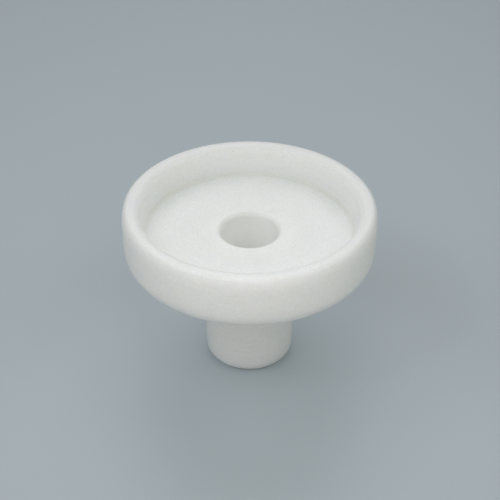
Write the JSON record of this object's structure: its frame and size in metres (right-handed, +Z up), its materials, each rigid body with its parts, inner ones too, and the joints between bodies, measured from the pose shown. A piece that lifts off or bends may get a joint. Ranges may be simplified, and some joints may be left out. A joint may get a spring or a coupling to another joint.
{
  "type": "buchner funnel",
  "caption": "Shallow thick-walled round filter funnel in white plastic: flat-floored dish with a central outlet hole, on a short thick stem that screws in.",
  "frame": {"origin": "centre of the stem's foot, the plane that the funnel stands on", "axes": "+Z up along the funnel's axis, towards the dish; the funnel is round, so +X and +Y are alike apart from the thread"},
  "size_m": [0.086, 0.086, 0.0625],
  "materials": {
    "dish_plastic": "satin white fluoropolymer, slightly translucent",
    "stem_plastic": "satin white fluoropolymer, slightly translucent",
    "seal_rubber": "soft pale grey rubber"
  },
  "bodies": {
    "dish": {"dish": "dish_plastic"},
    "seal": {"seal_ring": "seal_rubber"},
    "stem": {"stem": "stem_plastic"}
  },
  "joints": [
    {"name": "seal_drop", "type": "slide", "parent": "dish", "child": "seal", "axis": [0, 0, -1], "range_m": [0, 0.006]},
    {"name": "stem_turn", "type": "hinge", "parent": "seal", "child": "stem", "pos_m": [0, 0, 0.0428], "axis": [0, 0, -1], "range_deg": [0, 840]}
  ],
  "couplings": [
    {"joint": "seal_drop", "follows": "stem_turn", "m_per_rad": 0.00039789}
  ]
}
